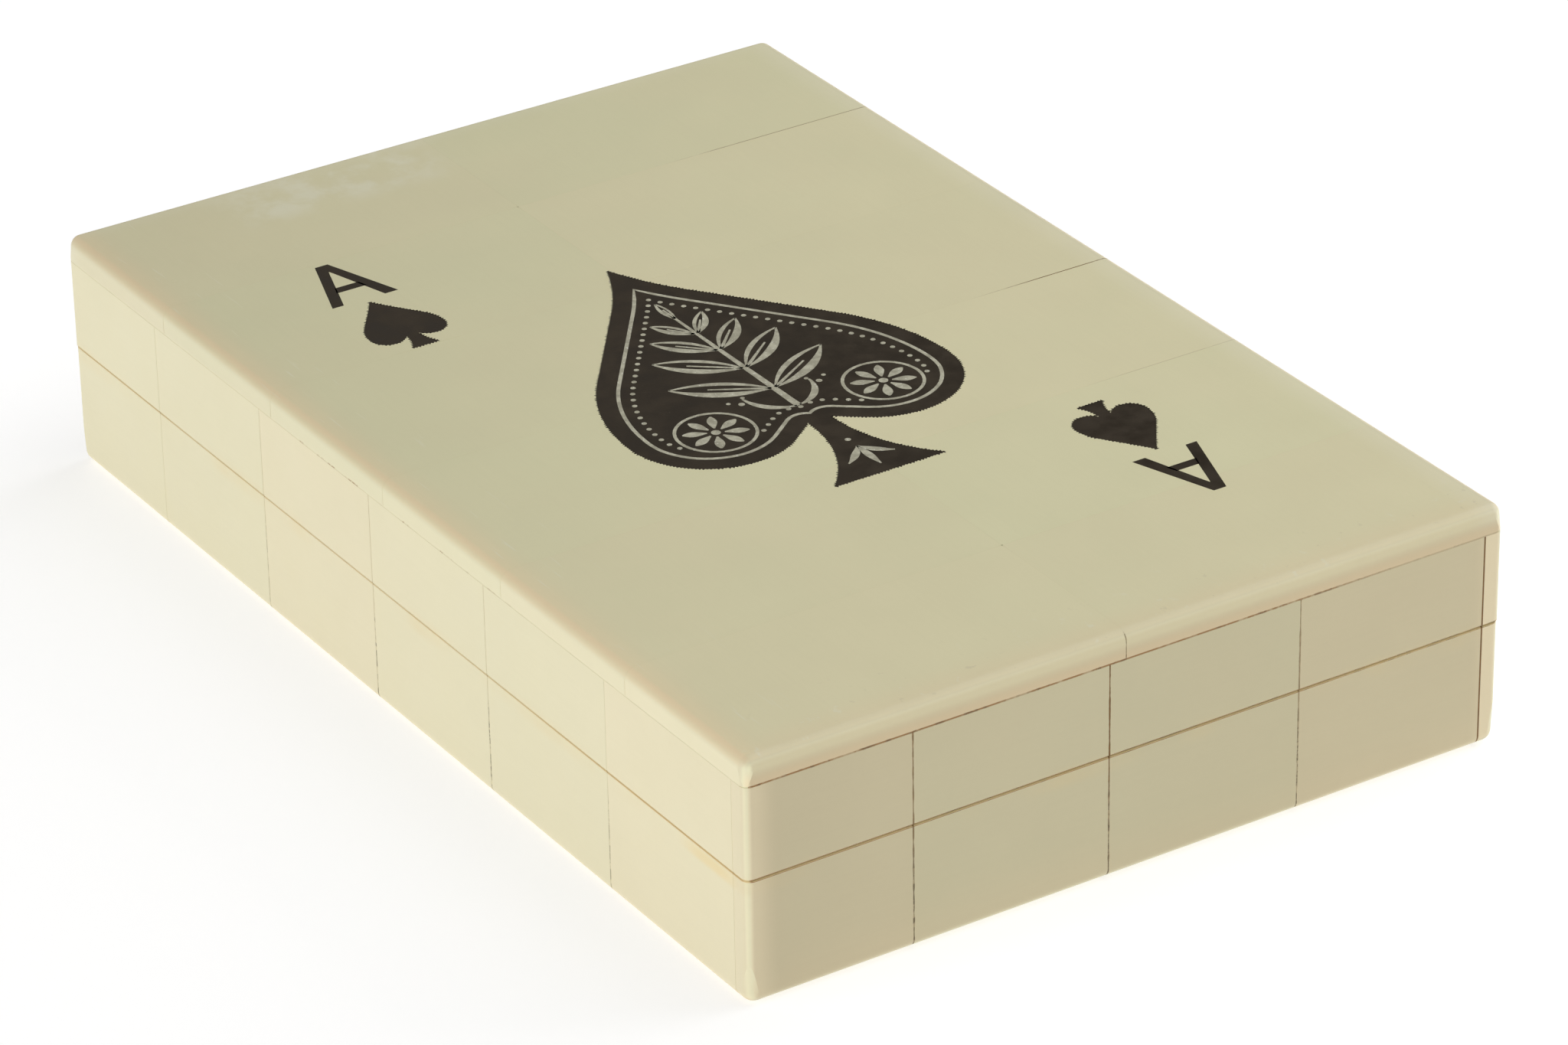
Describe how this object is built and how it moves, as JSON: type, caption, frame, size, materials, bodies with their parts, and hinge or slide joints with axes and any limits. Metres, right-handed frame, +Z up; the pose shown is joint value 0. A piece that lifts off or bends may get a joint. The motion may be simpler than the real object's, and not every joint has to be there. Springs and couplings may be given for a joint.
{
  "type": "playing card box",
  "caption": "Low hinged box clad in butted bone tiles, with a black spade let into the lid and two felted wells for packs of playing cards.",
  "frame": {"origin": "centre of the underside felt, on the table", "axes": "+Z up; +Y along the length, towards the head of the card face on the lid; +X to that face's right, the hinged side"},
  "size_m": [0.1114, 0.164, 0.033],
  "materials": {
    "bone": "polished bone, aged to a warm cream",
    "black_filling": "black filling rubbed flush with the bone",
    "carcass_wood": "oiled brown hardwood",
    "felt": "dark green wool felt",
    "hinge_brass": "aged brass"
  },
  "bodies": {
    "base": {"underside_felt": "felt", "base_bottom_board": "carcass_wood", "base_foot_wall": "carcass_wood", "base_left_wall": "carcass_wood", "base_head_wall": "carcass_wood", "base_right_wall": "carcass_wood", "deck_divider": "carcass_wood", "base_foot_felt": "felt", "base_head_felt": "felt", "base_foot_tiles": "bone", "base_left_tiles": "bone", "base_head_tiles": "bone", "base_right_tiles": "bone", "hinge_foot_base_leaf": "hinge_brass", "hinge_head_base_leaf": "hinge_brass", "hinge_foot_pin": "hinge_brass", "hinge_head_pin": "hinge_brass", "hinge_base_screws": "hinge_brass"},
    "lid": {"lid_foot_wall": "carcass_wood", "lid_left_wall": "carcass_wood", "lid_head_wall": "carcass_wood", "lid_right_wall": "carcass_wood", "lid_top_board": "carcass_wood", "lid_felt": "felt", "lid_foot_tiles": "bone", "lid_left_tiles": "bone", "lid_head_tiles": "bone", "lid_right_tiles": "bone", "lid_top_tiles": "bone", "centre_spade_fill": "black_filling", "corner_pip_fills": "black_filling", "hinge_foot_lid_leaf": "hinge_brass", "hinge_head_lid_leaf": "hinge_brass", "hinge_lid_screws": "hinge_brass"}
  },
  "joints": [
    {"name": "lid_hinge", "type": "hinge", "parent": "base", "child": "lid", "pos_m": [0.0558, 0, 0.017], "axis": [0, 1, 0], "range_deg": [0, 180]}
  ]
}
